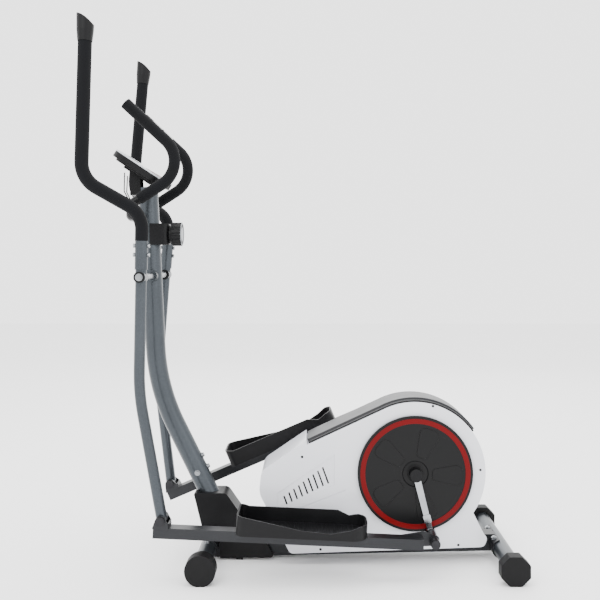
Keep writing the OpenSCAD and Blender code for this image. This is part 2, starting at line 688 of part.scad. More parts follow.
arm_r = flywheel_d / 2 + magnet_gap + 5;
module brake_arm() color("silver") difference() {
    union() {
        slab(concat(arc(flat(flywheel_at), arm_r + 4, 14, 92, 24),
                    arc(flat(flywheel_at), arm_r, 92, 14, 24)), -31, -3);
        cross_bar(brake_pivot.x, brake_pivot.z, 18, -31, -3);
        slab([flat(brake_pivot) + [-2, 6], flat(brake_pivot) + [6, 4],
              polar(flat(flywheel_at), arm_r + 4, 17), polar(flat(flywheel_at), arm_r + 0.5, 17)],
             -31, -3);
    }
    cross_bar(brake_pivot.x, brake_pivot.z, 8 + 2 * run_gap, -40, 10);
}
module brake_magnets() color("dimgray") for (a = [30, 48, 66])
    slab(concat(arc(flat(flywheel_at), arm_r - 0.05, a, a + 14, 5),
                arc(flat(flywheel_at), arm_r - 5, a + 14, a, 5)), -29, -5);
module disc() difference() {
    ring_bar(crank.x, crank.z, disc_d, crank_axle_d, -disc_y[1], -disc_y[0]);
    ring_bar(crank.x, crank.z, 76, 46, -disc_y[1] - 1, -disc_y[1] + 3);
}
module crank_discs() color(soft_black) both_sides() disc();
module disc_rings() color("firebrick") both_sides()
    ring_bar(crank.x, crank.z, disc_d - 16, disc_d - 46, -disc_y[1] - ring_t, -disc_y[1]);

// A crank arm, drawn hanging straight down from the crank axis
module crank_arm(side) color("silver") on_crank(side) {
    difference() {
        union() {
            cross_bar(0, 0, 34, -crank_y[1], -crank_y[0] + 4);
            slab([[-10, 0], [-8, -crank_throw], [8, -crank_throw], [10, 0]],
                 -crank_y[1] + 2, -crank_y[0] - 2);
            slab(rounded(box_points(-11, -142, 11, -119), [3, 3, 3, 3]), -crank_y[1], -crank_y[0]);
            cross_bar(0, -crank_throw, 32, -crank_y[1], -crank_y[0]);
        }
        cross_bar(0, 0, crank_axle_d, -crank_y[1] - 1, -crank_y[0] + 5);
    }
}

// ---- Handles ----
tube_top = [11, -arm_y, 103];
tube_knee = [-34, -arm_y, -328];
lower_at = [0, -arm_y, -handle_drop];
socket_way = unit(tube_top - tube_knee);
upper_low = tube_top - socket_way * 60;
upper_elbow = tube_top + socket_way * 78;
upper_knee = [-120, -grip_y, 283];
upper_tip = [-77, -grip_y, 657];
grip_way = unit(upper_tip - upper_knee);
upper_turns = [0, 75, 75, 0];
sleeve_out = arm_y + 23;
sleeve_in = arm_y - 23;
bush_d = axle_d + 5;
upper_d = lower_d - 2 * handle_wall - 2 * seat_gap;
socket_d = lower_d + 5;
module handle_lower(side) color(frame_grey) on_handle(side) difference() {
    union() {
        bent_tube([tube_top, tube_knee, lower_at], [0, 620, 0], lower_d, lower_d - 2 * handle_wall);
        straight_tube(tube_top, tube_top - socket_way * 82, socket_d, lower_d - 1);
        cross_bar(0, 0, bush_d + 9, -sleeve_out, -sleeve_in);
        cross_bar(0, -handle_drop, pin_d + 14, -sleeve_out + 1, -sleeve_in - 1);
    }
    cross_bar(0, 0, bush_d, -sleeve_out - 1, -sleeve_in + 1);
    cross_bar(0, -handle_drop, pin_d + 2 * run_gap, -sleeve_out - 1, -sleeve_in + 1);
    for (z = handle_bolt_z) handle_bolt(z) cylinder(h = 60, d = 8, center = true);
}
handle_bolt_z = [14, 40];
module handle_bolt(z) placed(tube_top - socket_way * z, [0, 1, 0], cross([0, 1, 0], socket_way))
    children();
module handle_upper(side) color(soft_black) on_handle(side) difference() {
    bent_tube([upper_low, upper_elbow, upper_knee, upper_tip], upper_turns, upper_d,
              upper_d - 2 * handle_wall);
    for (z = handle_bolt_z) handle_bolt(z) cylinder(h = 60, d = 8, center = true);
}
module handle_grip(side) color(soft_black) on_handle(side)
    bent_tube([tube_top + socket_way * 0.4, upper_elbow, upper_knee, upper_tip], upper_turns,
              foam_d, upper_d + 2 * seat_gap);
module handle_cap(side) color(soft_black) on_handle(side)
    placed(upper_tip + grip_way * 0.3, [1, 0, 0] - grip_way * grip_way.x, grip_way) intersection() {
        union() {
            cylinder(h = cap_h / 2.5, d1 = foam_d + 3, d2 = foam_d + 9);
            translate([0, 0, cap_h / 2.5]) cylinder(h = cap_h, d1 = foam_d + 9, d2 = foam_d + 13);
        }
        translate([-48, 0, -14]) rotate([90, 0, 0])
            cylinder(h = 2 * foam_d, r = cap_h + 16, center = true, $fn = 96);
    }
module handle_bushes(side) color(soft_black) on_handle(side) difference() {
    union() {
        cross_bar(0, 0, bush_d - 0.04, -sleeve_out, -sleeve_in);
        cross_bar(0, 0, bush_d + 6, -sleeve_out - 3, -sleeve_out);
        cross_bar(0, 0, bush_d + 6, -sleeve_in, -sleeve_in + 3);
    }
    cross_bar(0, 0, axle_d + 2 * run_gap, -sleeve_out - 4, -sleeve_in + 4);
}
module handle_bolts(side) color("silver") on_handle(side) for (z = handle_bolt_z) {
    handle_bolt(z) cylinder(h = socket_d + 6, d = 7.8, center = true);
    handle_bolt(z) for (s = [-1, 1])
        translate([0, 0, s * (socket_d / 2 + 2.6)]) cylinder(h = 5, d = 12, center = true);
}

// ---- Pedal arms ----
ear_in = 23.6;
ear_t = 4.4;
arm_tail = arm_reach - 35;
arm_top = arm_h / 2 - arm_drop;
module arm_ear(y0) slab(concat(
    [[-22, arm_top - weld], [24, arm_top - weld], [22, -8]], arc([0, 0], 15, 20, 160, 12),
    [[-18, -6]]), y0, y0 + ear_t);
module pedal_arm(side) color(arm_grey) on_arm(side) difference() {
    union() {
        translate([-21, -arm_y - arm_w / 2, -arm_drop - arm_h / 2])
            cube([arm_tail + 21, arm_w, arm_h]);
        translate([-22, -arm_y - ear_in - ear_t, arm_top - weld])
            cube([46, 2 * (ear_in + ear_t), 4]);
        arm_ear(-arm_y - ear_in - ear_t);
        arm_ear(-arm_y + ear_in);
        translate([20, -arm_y - ear_in, arm_top]) cube([4, 2 * ear_in, 14]);
        cross_bar(arm_reach, -arm_drop, pin_d + 12, -arm_y - 11, -pin_end_y - 1);
        slab(rounded([[arm_tail - 60, -arm_drop - 13], [arm_tail + 10, -arm_drop - 16],
                      [arm_reach + 15, -arm_drop - 12], [arm_reach + 15, -arm_drop + 12],
                      [arm_tail + 6, -arm_drop + 26], [arm_tail - 60, -arm_drop + 13]],
                     [0, 4, 8, 8, 8, 0]), -arm_y + arm_w / 2, -arm_y + arm_w / 2 + 6);
    }
    translate([-19, -arm_y - arm_w / 2 + arm_wall, -arm_drop - arm_h / 2 + arm_wall])
        cube([arm_tail + 30, arm_w - 2 * arm_wall, arm_h - 2 * arm_wall]);
    cross_bar(0, 0, pin_d, -arm_y - 40, -arm_y + 40);
    cross_bar(arm_reach, -arm_drop, pin_d, -arm_y - 20, -pin_end_y + 1);
}
plate_x = 216;
plate_end = plate_x + plate_len;
plate_y = -pin_end_y - 6 - plate_w / 2;
plate_floor = 7;
function plate_outline(less) = rounded(
    inset(box_points(plate_x, plate_y - plate_w / 2, plate_end, plate_y + plate_w / 2), less),
    [22 - less, 44 - less, 44 - less, 22 - less]);
// Tops of the outer and the inner wall, from the front to the heel
outer_top = [[0, 36], [45, 28], [185, 2], [265, -3], [plate_len - 50, 8], [plate_len - 22, 19],
             [plate_len, 20]];
inner_top = [[0, 36], [28, 27], [plate_len - 82, 27], [plate_len - 48, 12], [plate_len - 22, 19],
             [plate_len, 20]];
function above(top) = concat([for (p = top) p + [plate_x, 0]], [[plate_end + 5, 20],
    [plate_end + 5, 80], [plate_x - 5, 80], [plate_x - 5, 36]]);
module footplate(side) color(soft_black) on_arm(side) difference() {
    translate([0, 0, arm_top + seat_gap]) linear_extrude(60) polygon(plate_outline(0));
    translate([0, 0, arm_top + plate_floor]) linear_extrude(80)
        polygon(plate_outline(plate_wall));
    slab(above(outer_top), plate_y - plate_w, plate_y);
    slab(above(inner_top), plate_y, plate_y + plate_w);
}
module arm_pins(side) color("silver") on_arm(side) {
    cross_bar(0, 0, pin_d - 0.04, -arm_y - ear_in - ear_t - 1, -arm_y + ear_in + ear_t + 1);
    for (y = [-arm_y - ear_in - ear_t - 5, -arm_y + ear_in + ear_t + 1])
        cross_bar(0, 0, 26, y, y + 4);
    cross_bar(arm_reach, -arm_drop, pin_d - 0.04, -arm_y - 12, -pin_end_y);
    cross_bar(arm_reach, -arm_drop, pin_d + 10, -arm_y - 15, -arm_y - 12);
}

base_frame();
front_stabilizer();
rear_stabilizer();
frame_bolts();
front_end_caps();
mast();
mast_boot();
handle_axle();
console_bracket();
console_back();
console_face();
console_cables();
fixed_handlebar();
handlebar_grips();
pulse_sensors();
knob_housing();
tension_cable();
shroud_shell();  // shroud_left
mirror([0, 1, 0]) shroud_shell();  // shroud_right
shroud_top_trim();
shroud_screws();
crank_bearings();
drive_belt();
flywheel_axle();
transport_wheel();  // transport_wheel_left
mirror([0, 1, 0]) transport_wheel();  // transport_wheel_right
level_cap();  // level_cap_left
mirror([0, 1, 0]) level_cap();  // level_cap_right
crank_axle();
drive_pulley();
crank_discs();
disc_rings();
crank_arm(-1);  // crank_left
crank_arm(1);  // crank_right
flywheel();
brake_arm();
brake_magnets();
tension_knob();
button(0);  // button_mode
button(1);  // button_set
button(2);  // button_reset
button(3);  // button_start
handle_lower(-1);  // left_handle_lower
handle_upper(-1);  // left_handle_upper
handle_grip(-1);  // left_handle_grip
handle_cap(-1);  // left_handle_cap
handle_bushes(-1);  // left_handle_bushes
handle_bolts(-1);  // left_handle_bolts
pedal_arm(-1);  // left_pedal_arm
footplate(-1);  // left_footplate
arm_pins(-1);  // left_arm_pins
handle_lower(1);  // right_handle_lower
handle_upper(1);  // right_handle_upper
handle_grip(1);  // right_handle_grip
handle_cap(1);  // right_handle_cap
handle_bushes(1);  // right_handle_bushes
handle_bolts(1);  // right_handle_bolts
pedal_arm(1);  // right_pedal_arm
footplate(1);  // right_footplate
arm_pins(1);  // right_arm_pins
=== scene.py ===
# Elliptical trainer: finishes and finer pieces over the fixed frame.
# Metres, +Z up, floor at z = 0. The user faces -X, so -Y is the machine's left side.
import json
import math

import bpy
from mathutils import Matrix, Vector

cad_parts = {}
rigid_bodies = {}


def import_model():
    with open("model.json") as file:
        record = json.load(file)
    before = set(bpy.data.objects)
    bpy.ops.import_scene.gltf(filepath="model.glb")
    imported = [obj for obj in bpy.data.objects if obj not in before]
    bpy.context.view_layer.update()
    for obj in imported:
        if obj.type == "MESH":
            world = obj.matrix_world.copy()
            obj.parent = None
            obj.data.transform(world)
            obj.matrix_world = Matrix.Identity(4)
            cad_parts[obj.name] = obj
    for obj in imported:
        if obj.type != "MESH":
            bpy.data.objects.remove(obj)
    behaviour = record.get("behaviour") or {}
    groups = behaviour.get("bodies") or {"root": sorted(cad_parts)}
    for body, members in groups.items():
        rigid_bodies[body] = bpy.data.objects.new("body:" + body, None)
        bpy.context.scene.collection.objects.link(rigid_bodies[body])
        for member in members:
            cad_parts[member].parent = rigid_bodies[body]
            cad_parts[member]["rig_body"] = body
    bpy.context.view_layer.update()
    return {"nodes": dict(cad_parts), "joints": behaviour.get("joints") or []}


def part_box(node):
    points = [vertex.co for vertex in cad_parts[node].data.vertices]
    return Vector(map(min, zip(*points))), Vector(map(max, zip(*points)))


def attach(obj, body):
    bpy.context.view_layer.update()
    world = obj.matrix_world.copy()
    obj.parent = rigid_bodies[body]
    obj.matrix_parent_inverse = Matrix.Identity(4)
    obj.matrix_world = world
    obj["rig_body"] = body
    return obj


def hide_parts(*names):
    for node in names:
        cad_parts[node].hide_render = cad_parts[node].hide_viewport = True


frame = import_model()
joints = {j["name"]: j for j in frame["joints"]}
nodes = frame["nodes"]
scene = bpy.context.scene
mm = 0.001
sides = {"left": -1, "right": 1}


# The camera stands level at the machine's left side
cameraSetup = {
    "place": (0.018, -2.528, 0.917),
    "lens": 49.03,
    "shift": (-0.0197, -0.069),
}


def addCamera():
    data = bpy.data.cameras.new("camera")
    data.lens = cameraSetup["lens"]
    data.sensor_width = 36
    data.shift_x, data.shift_y = cameraSetup["shift"]
    camera = bpy.data.objects.new("camera", data)
    camera.location = cameraSetup["place"]
    camera.rotation_euler = (math.radians(90), 0, 0)
    scene.collection.objects.link(camera)
    scene.camera = camera


addCamera()
print("camera set")


# Helpers for modelling
def deselectAll():
    if bpy.context.object and bpy.context.object.mode != "OBJECT":
        bpy.ops.object.mode_set(mode="OBJECT")
    bpy.ops.object.select_all(action="DESELECT")


def activate(piece):
    deselectAll()
    piece.select_set(True)
    bpy.context.view_layer.objects.active = piece


def editSelected(piece, mode, test):
    # Leaves the piece in edit mode with only what passes the test selected
    activate(piece)
    mesh = piece.data
    for group in (mesh.vertices, mesh.edges, mesh.polygons):
        for item in group:
            item.select = False
    for item in {"VERT": mesh.vertices, "EDGE": mesh.edges, "FACE": mesh.polygons}[mode]:
        item.select = test(item)
    bpy.ops.object.mode_set(mode="EDIT")
    bpy.ops.mesh.select_mode(type=mode)


def bake(piece):
    # Sets the piece's place and modifiers into its mesh
    activate(piece)
    bpy.ops.object.transform_apply(location=True, rotation=True, scale=True)
    for modifier in list(piece.modifiers):
        bpy.ops.object.modifier_apply(modifier=modifier.name)


def outwards(piece):
    editSelected(piece, "FACE", lambda f: True)
    bpy.ops.mesh.remove_doubles(threshold=0.002 * mm)
    bpy.ops.mesh.normals_make_consistent(inside=False)
    bpy.ops.object.mode_set(mode="OBJECT")


def addBevel(piece, width, segments=3, limit="ANGLE", angle=32):
    bevel = piece.modifiers.new("edge", "BEVEL")
    bevel.width = width * mm
    bevel.segments = segments
    bevel.limit_method = limit
    bevel.angle_limit = math.radians(angle)
    bevel.harden_normals = False
    return bevel


def dress(piece, name, body, material, smooth=35):
    bake(piece)
    bpy.ops.object.shade_smooth_by_angle(angle=math.radians(smooth))
    flats = piece.modifiers.new("flats", "WEIGHTED_NORMAL")
    flats.keep_sharp = True
    bpy.ops.object.modifier_apply(modifier=flats.name)
    piece.name = name
    piece.data.materials.clear()
    piece.data.materials.append(material)
    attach(piece, body)
    return piece


def copyOfNode(nodeName):
    # A merged copy of a CAD node, with its flat faces whole again
    piece = bpy.data.objects.new(nodeName + "_copy", nodes[nodeName].data.copy())
    scene.collection.objects.link(piece)
    editSelected(piece, "FACE", lambda f: True)
    bpy.ops.mesh.customdata_custom_splitnormals_clear()
    bpy.ops.mesh.remove_doubles(threshold=0.01 * mm)
    bpy.ops.mesh.dissolve_limited(angle_limit=math.radians(0.6))
    bpy.ops.object.mode_set(mode="OBJECT")
    return piece


def softened(nodeName, width, material, segments=3, angle=32):
    # The CAD node with its moulded or rolled edges eased
    piece = copyOfNode(nodeName)
    addBevel(piece, width, segments, angle=angle)
    dress(piece, nodeName + "_finished", nodes[nodeName]["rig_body"], material)
    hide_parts(nodeName)
    return piece


def paint(nodeName, material):
    mesh = nodes[nodeName].data
    mesh.materials.clear()
    mesh.materials.append(material)


# Materials
def linear(hexColour):
    parts = [int(hexColour[i:i + 2], 16) / 255 for i in (1, 3, 5)]
    return tuple(c / 12.92 if c <= 0.04045 else ((c + 0.055) / 1.055) ** 2.4 for c in parts) + (1,)


def perMetre(sizeMm):
    return 1000 / sizeMm


def addNode(tree, kind, inputs=None, **settings):
    node = tree.nodes.new(kind)
    for key, value in settings.items():
        setattr(node, key, value)
    for key, value in (inputs or {}).items():
        if isinstance(value, bpy.types.NodeSocket):
            tree.links.new(value, node.inputs[key])
        else:
            node.inputs[key].default_value = value
    return node


def newMaterial(name, **constants):
    # A material with a Principled shader whose fixed values are set on its own sockets
    material = bpy.data.materials.new(name)
    material.use_nodes = True
    tree = material.node_tree
    tree.nodes.clear()
    shader = addNode(tree, "ShaderNodeBsdfPrincipled", constants)
    addNode(tree, "ShaderNodeOutputMaterial", {"Surface": shader.outputs[0]})
    where = addNode(tree, "ShaderNodeTexCoord").outputs["Object"]
    return material, tree, shader, where


def metallicPowderCoat(name, light, dark, rough=0.36, metallic=0.62):
    # Baked powder with aluminium flake: a soft sheen, fine glitter and a faint orange peel
    material, tree, shader, where = newMaterial(name, Metallic=metallic)
    flake = addNode(tree, "ShaderNodeTexVoronoi", {"Vector": where, "Scale": perMetre(1.1)})
    drift = addNode(tree, "ShaderNodeTexNoise", {"Vector": where, "Scale": perMetre(160), "Detail": 3})
    blend = addNode(tree, "ShaderNodeMath", {0: flake.outputs["Color"], 1: 0.55}, operation="MULTIPLY")
    both = addNode(tree, "ShaderNodeMath", {0: drift.outputs["Fac"], 1: 0.45, 2: blend.outputs[0]},
                   operation="MULTIPLY_ADD")
    colour = addNode(tree, "ShaderNodeMix", {"Factor": both.outputs[0], "A": linear(dark),
                                             "B": linear(light)}, data_type="RGBA")
    gloss = addNode(tree, "ShaderNodeMapRange", {"Value": drift.outputs["Fac"], "To Min": rough - 0.05,
                                                 "To Max": rough + 0.07})
    peel = addNode(tree, "ShaderNodeTexNoise", {"Vector": where, "Scale": perMetre(2.2), "Detail": 2})
    bump = addNode(tree, "ShaderNodeBump", {"Height": peel.outputs["Fac"], "Strength": 0.12,
                                            "Distance": 0.15 * mm})
    tree.links.new(colour.outputs["Result"], shader.inputs["Base Color"])
    tree.links.new(gloss.outputs[0], shader.inputs["Roughness"])
    tree.links.new(bump.outputs[0], shader.inputs["Normal"])
    return material


def satinBlackPaint():
    # Black powder coat on tube: satin, with a fine even peel
    material, tree, shader, where = newMaterial("satinBlackPowder", **{"Specular IOR Level": 0.2})
    cloud = addNode(tree, "ShaderNodeTexNoise", {"Vector": where, "Scale": perMetre(90), "Detail": 4})
    colour = addNode(tree, "ShaderNodeMix", {"Factor": cloud.outputs["Fac"], "A": linear("#060607"),
                                             "B": linear("#0c0c0e")}, data_type="RGBA")
    gloss = addNode(tree, "ShaderNodeMapRange", {"Value": cloud.outputs["Fac"], "To Min": 0.3,
                                                 "To Max": 0.42})
    peel = addNode(tree, "ShaderNodeTexNoise", {"Vector": where, "Scale": perMetre(1.8), "Detail": 2})
    bump = addNode(tree, "ShaderNodeBump", {"Height": peel.outputs["Fac"], "Strength": 0.15,
                                            "Distance": 0.15 * mm})
    tree.links.new(colour.outputs["Result"], shader.inputs["Base Color"])
    tree.links.new(gloss.outputs[0], shader.inputs["Roughness"])
    tree.links.new(bump.outputs[0], shader.inputs["Normal"])
    return material


def platedMetal(name, bright, dull, rough, smear):
    # Plated steel: mirror-like where polished, clouded by handling and the plating bath
    material, tree, shader, where = newMaterial(name, Metallic=1.0)
    cloud = addNode(tree, "ShaderNodeTexNoise", {"Vector": where, "Scale": perMetre(35), "Detail": 6})
    colour = addNode(tree, "ShaderNodeMix", {"Factor": cloud.outputs["Fac"], "A": linear(dull),
                                             "B": linear(bright)}, data_type="RGBA")
    gloss = addNode(tree, "ShaderNodeMapRange", {"Value": cloud.outputs["Fac"], "To Min": rough,
                                                 "To Max": rough + smear})
    tree.links.new(colour.outputs["Result"], shader.inputs["Base Color"])
    tree.links.new(gloss.outputs[0], shader.inputs["Roughness"])
    return material


def nitrileFoam():
    # Closed-cell grip foam: matt black, with a skin of burst cells about 0.6 mm wide.
    # The cells are drawn at 1.4 mm so that they show.
    material, tree, shader, where = newMaterial("nitrileFoam", **{"Sheen Weight": 0.02,
                                                                  "Specular IOR Level": 0.1})
    cells = addNode(tree, "ShaderNodeTexVoronoi", {"Vector": where, "Scale": perMetre(1.4)})
    rub = addNode(tree, "ShaderNodeTexNoise", {"Vector": where, "Scale": perMetre(45), "Detail": 5})
    colour = addNode(tree, "ShaderNodeMix", {"Factor": rub.outputs["Fac"], "A": linear("#070708"),
                                             "B": linear("#101114")}, data_type="RGBA")
    gloss = addNode(tree, "ShaderNodeMapRange", {"Value": rub.outputs["Fac"], "To Min": 0.7, "To Max": 0.92})
    bump = addNode(tree, "ShaderNodeBump", {"Height": cells.outputs["Distance"], "Strength": 0.55,
                                            "Distance": 0.35 * mm})
    tree.links.new(colour.outputs["Result"], shader.inputs["Base Color"])
    tree.links.new(gloss.outputs[0], shader.inputs["Roughness"])
    tree.links.new(bump.outputs[0], shader.inputs["Normal"])
    return material


def sparkGrainPlastic(name, dark, light, rough):
    # Moulded in a spark-eroded tool: an even fine grain that breaks up the highlight
    material, tree, shader, where = newMaterial(name, IOR=1.49, **{"Specular IOR Level": 0.16})
    grainNode = addNode(tree, "ShaderNodeTexNoise", {"Vector": where, "Scale": perMetre(0.8), "Detail": 3,
                                                     "Roughness": 0.6})
    rub = addNode(tree, "ShaderNodeTexNoise", {"Vector": where, "Scale": perMetre(70), "Detail": 4})
    colour = addNode(tree, "ShaderNodeMix", {"Factor": rub.outputs["Fac"], "A": linear(dark),
                                             "B": linear(light)}, data_type="RGBA")
    gloss = addNode(tree, "ShaderNodeMapRange", {"Value": rub.outputs["Fac"], "To Min": rough - 0.06,
                                                 "To Max": rough + 0.08})
    bump = addNode(tree, "ShaderNodeBump", {"Height": grainNode.outputs["Fac"], "Strength": 0.4,
                                            "Distance": 0.12 * mm})
    tree.links.new(colour.outputs["Result"], shader.inputs["Base Color"])
    tree.links.new(gloss.outputs[0], shader.inputs["Roughness"])
    tree.links.new(bump.outputs[0], shader.inputs["Normal"])
    return material


def glossAbs(name, base, shade, rough=0.16, coat=0.35, shine=0.5):
    # Gloss injection-moulded ABS: clean reflections with a long, very shallow sink ripple
    material, tree, shader, where = newMaterial(name, IOR=1.53, **{"Coat Weight": coat,
                                                                   "Coat Roughness": 0.06,
                                                                   "Specular IOR Level": shine})
    sink = addNode(tree, "ShaderNodeTexNoise", {"Vector": where, "Scale": perMetre(55), "Detail": 2})
    fine = addNode(tree, "ShaderNodeTexNoise", {"Vector": where, "Scale": perMetre(240), "Detail": 3})
    colour = addNode(tree, "ShaderNodeMix", {"Factor": fine.outputs["Fac"], "A": linear(shade),
                                             "B": linear(base)}, data_type="RGBA")
    gloss = addNode(tree, "ShaderNodeMapRange", {"Value": sink.outputs["Fac"], "To Min": rough,
                                                 "To Max": rough + 0.07})
    bump = addNode(tree, "ShaderNodeBump", {"Height": sink.outputs["Fac"], "Strength": 0.08,
                                            "Distance": 0.6 * mm})
    tree.links.new(colour.outputs["Result"], shader.inputs["Base Color"])
    tree.links.new(gloss.outputs[0], shader.inputs["Roughness"])
    tree.links.new(bump.outputs[0], shader.inputs["Normal"])
    return material


def trimWithPaintedShadeFlanks():
    # One dark-grey moulding with a grey satin top; its flanks are painted near-black as painted shade, with
    # the same fine grain
    material, tree, shader, where = newMaterial("trimAbs", IOR=1.5, **{"Specular IOR Level": 0.25})
    apart = addNode(tree, "ShaderNodeSeparateXYZ", {0: where})
    reach = addNode(tree, "ShaderNodeMath", {0: apart.outputs["Y"]}, operation="ABSOLUTE")
    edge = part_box("shroud_top_trim")[1][1]
    # Mask for the painted shade: the flanks near the trim's outer edge
    paintedShadeFlank = addNode(tree, "ShaderNodeMapRange", {"Value": reach.outputs[0], "From Min": edge - 3 * mm,
                                                 "From Max": edge - 2 * mm})
    rub = addNode(tree, "ShaderNodeTexNoise", {"Vector": where, "Scale": perMetre(60), "Detail": 4})
    top = addNode(tree, "ShaderNodeMix", {"Factor": rub.outputs["Fac"], "A": linear("#1c1d1f"),
                                          "B": linear("#232427")}, data_type="RGBA")
    # Painted shade: the flanks take near-black in place of the moulding's grey
    colour = addNode(tree, "ShaderNodeMix", {"Factor": paintedShadeFlank.outputs[0], "A": top.outputs["Result"],
                                             "B": linear("#070708")}, data_type="RGBA")
    gloss = addNode(tree, "ShaderNodeMapRange", {"Value": rub.outputs["Fac"], "To Min": 0.3, "To Max": 0.42})
    tree.links.new(colour.outputs["Result"], shader.inputs["Base Color"])
    tree.links.new(gloss.outputs[0], shader.inputs["Roughness"])
    return material


def mouldedRubber():
    # Solid PVC rubber: dull black, scuffed grey in patches where it meets the floor
    material, tree, shader, where = newMaterial("mouldedRubber", IOR=1.5, **{"Specular IOR Level": 0.14})
    scuff = addNode(tree, "ShaderNodeTexNoise", {"Vector": where, "Scale": perMetre(14), "Detail": 8,
                                                 "Roughness": 0.7})
    colour = addNode(tree, "ShaderNodeMix", {"Factor": scuff.outputs["Fac"], "A": linear("#050506"),
                                             "B": linear("#121213")}, data_type="RGBA")
    gloss = addNode(tree, "ShaderNodeMapRange", {"Value": scuff.outputs["Fac"], "To Min": 0.42,
                                                 "To Max": 0.68})
    bump = addNode(tree, "ShaderNodeBump", {"Height": scuff.outputs["Fac"], "Strength": 0.2,
                                            "Distance": 0.3 * mm})
    tree.links.new(colour.outputs["Result"], shader.inputs["Base Color"])
    tree.links.new(gloss.outputs[0], shader.inputs["Roughness"])
    tree.links.new(bump.outputs[0], shader.inputs["Normal"])
    return material


def turnedSteel(name, bright, dull, centre, pitchMm=1.2):
    # Turned or brushed round an axle: fine rings round the axis across the machine
    material, tree, shader, where = newMaterial(name, Metallic=1.0)
    move = addNode(tree, "ShaderNodeMapping", {"Vector": where, "Location": (-centre[0], 0, -centre[1])})
    rings = addNode(tree, "ShaderNodeTexWave", {"Vector": move.outputs[0], "Scale": perMetre(pitchMm) / 20,
                                                "Distortion": 0.6, "Detail": 2},
                    wave_type="RINGS", rings_direction="Y")
    colour = addNode(tree, "ShaderNodeMix", {"Factor": rings.outputs["Fac"], "A": linear(dull),
                                             "B": linear(bright)}, data_type="RGBA")
    gloss = addNode(tree, "ShaderNodeMapRange", {"Value": rings.outputs["Fac"], "To Min": 0.28,
                                                 "To Max": 0.46})
    tree.links.new(colour.outputs["Result"], shader.inputs["Base Color"])
    tree.links.new(gloss.outputs[0], shader.inputs["Roughness"])
    return material


greyCoat = metallicPowderCoat("greyMetallicPowder", "#4a4f54", "#282b2e", rough=0.3, metallic=0.8)
darkCoat = metallicPowderCoat("darkMetallicPowder", "#28292c", "#141517", rough=0.36, metallic=0.6)
blackCoat = satinBlackPaint()
chrome = platedMetal("chromePlate", "#a4a6a9", "#808286", 0.1, 0.12)
zinc = platedMetal("zincPlate", "#989b9e", "#696c6f", 0.24, 0.16)
stainless = platedMetal("brushedStainless", "#a8a8a6", "#828384", 0.26, 0.12)
blackOxide = platedMetal("blackOxide", "#3a3a3c", "#1d1d1f", 0.34, 0.16)
foam = nitrileFoam()
blackPlastic = sparkGrainPlastic("blackPolypropylene", "#060607", "#0d0d0f", 0.42)
trimPlastic = trimWithPaintedShadeFlanks()
whiteAbs = glossAbs("whiteGlossAbs", "#d3d4d9", "#cacbd1", coat=0.2)
blackAbs = glossAbs("blackSatinAbs", "#060607", "#040405", rough=0.3, coat=0.0, shine=0.16)
redAbs = glossAbs("redGlossAbs", "#650307", "#4c0104", rough=0.34, coat=0.0, shine=0.1)
lensAbs = glossAbs("smokedLens", "#0a0c0d", "#070809", rough=0.08, coat=0.2)
silverAbs = glossAbs("silverAbs", "#c9cccf", "#b2b5b9", rough=0.26, coat=0.25)
rubber = mouldedRubber()
flywheelIron = turnedSteel("turnedCastIron", "#8a8a88", "#575756", (37 * mm, 205 * mm))
print("materials made")


# The CAD nodes that keep their shape
carried = [
    (greyCoat, ["mast", "left_handle_lower", "right_handle_lower", "front_stabilizer", "rear_stabilizer"]),
    (darkCoat, ["base_frame", "left_pedal_arm", "right_pedal_arm"]),
    (blackCoat, ["fixed_handlebar", "left_handle_upper", "right_handle_upper", "brake_arm"]),
    (zinc, ["frame_bolts", "handle_axle", "flywheel_axle", "crank_bearings", "left_handle_bolts",
            "right_handle_bolts"]),
    (chrome, ["crank_axle", "crank_left", "crank_right"]),
    (stainless, ["pulse_sensors"]),
    (blackOxide, ["shroud_screws", "brake_magnets", "left_arm_pins", "right_arm_pins"]),
    (blackPlastic, ["console_cables", "console_bracket", "console_back", "tension_cable", "tension_knob",
                    "knob_housing", "mast_boot", "drive_pulley", "left_handle_bushes",
                    "right_handle_bushes", "left_handle_cap", "right_handle_cap", "left_footplate",
                    "right_footplate"]),
    (foam, ["left_handle_grip", "right_handle_grip", "handlebar_grips"]),
    (rubber, ["drive_belt", "transport_wheel_left", "transport_wheel_right", "front_end_caps",
              "level_cap_left", "level_cap_right"]),
    (flywheelIron, ["flywheel"]),
    (whiteAbs, ["shroud_left", "shroud_right"]),
    (trimPlastic, ["shroud_top_trim"]),
    (blackAbs, ["crank_discs"]),
    (redAbs, ["disc_rings"]),
    (silverAbs, ["console_face", "button_mode", "button_set", "button_reset", "button_start"]),
]
for material, names in carried:
    for nodeName in names:
        paint(nodeName, material)
print("frame painted")

# Where the moving pieces stand
crankCentre = Vector(joints["crank_turn"]["pos_m"])
linkage = {"crankThrow": 177 * mm, "crankAngle": 14.2, "armReach": 783 * mm, "armDrop": 36 * mm}


def armFrame(side):
    # From the pedal arm's own place, with +X along its tube to the rear, to the machine
    pivot = Vector(joints[side + "_pedal_pitch"]["pos_m"])
    back = math.radians(linkage["crankAngle"])
    pin = crankCentre + sides[side] * linkage["crankThrow"] * Vector((-math.sin(back), 0, math.cos(back)))
    tilt = math.atan2(pin.z - pivot.z, pin.x - pivot.x)
    tilt += math.atan2(linkage["armDrop"], linkage["armReach"])
    return Matrix.Translation((pivot.x, 0, pivot.z)) @ Matrix.Rotation(-tilt, 4, "Y")


def placeBy(piece, matrix):
    bake(piece)
    piece.matrix_world = matrix
    bpy.context.view_layer.update()


def joined(pieces):
    deselectAll()
    for piece in pieces:
        piece.select_set(True)
    bpy.context.view_layer.objects.active = pieces[0]
    bpy.ops.object.join()
    return pieces[0]


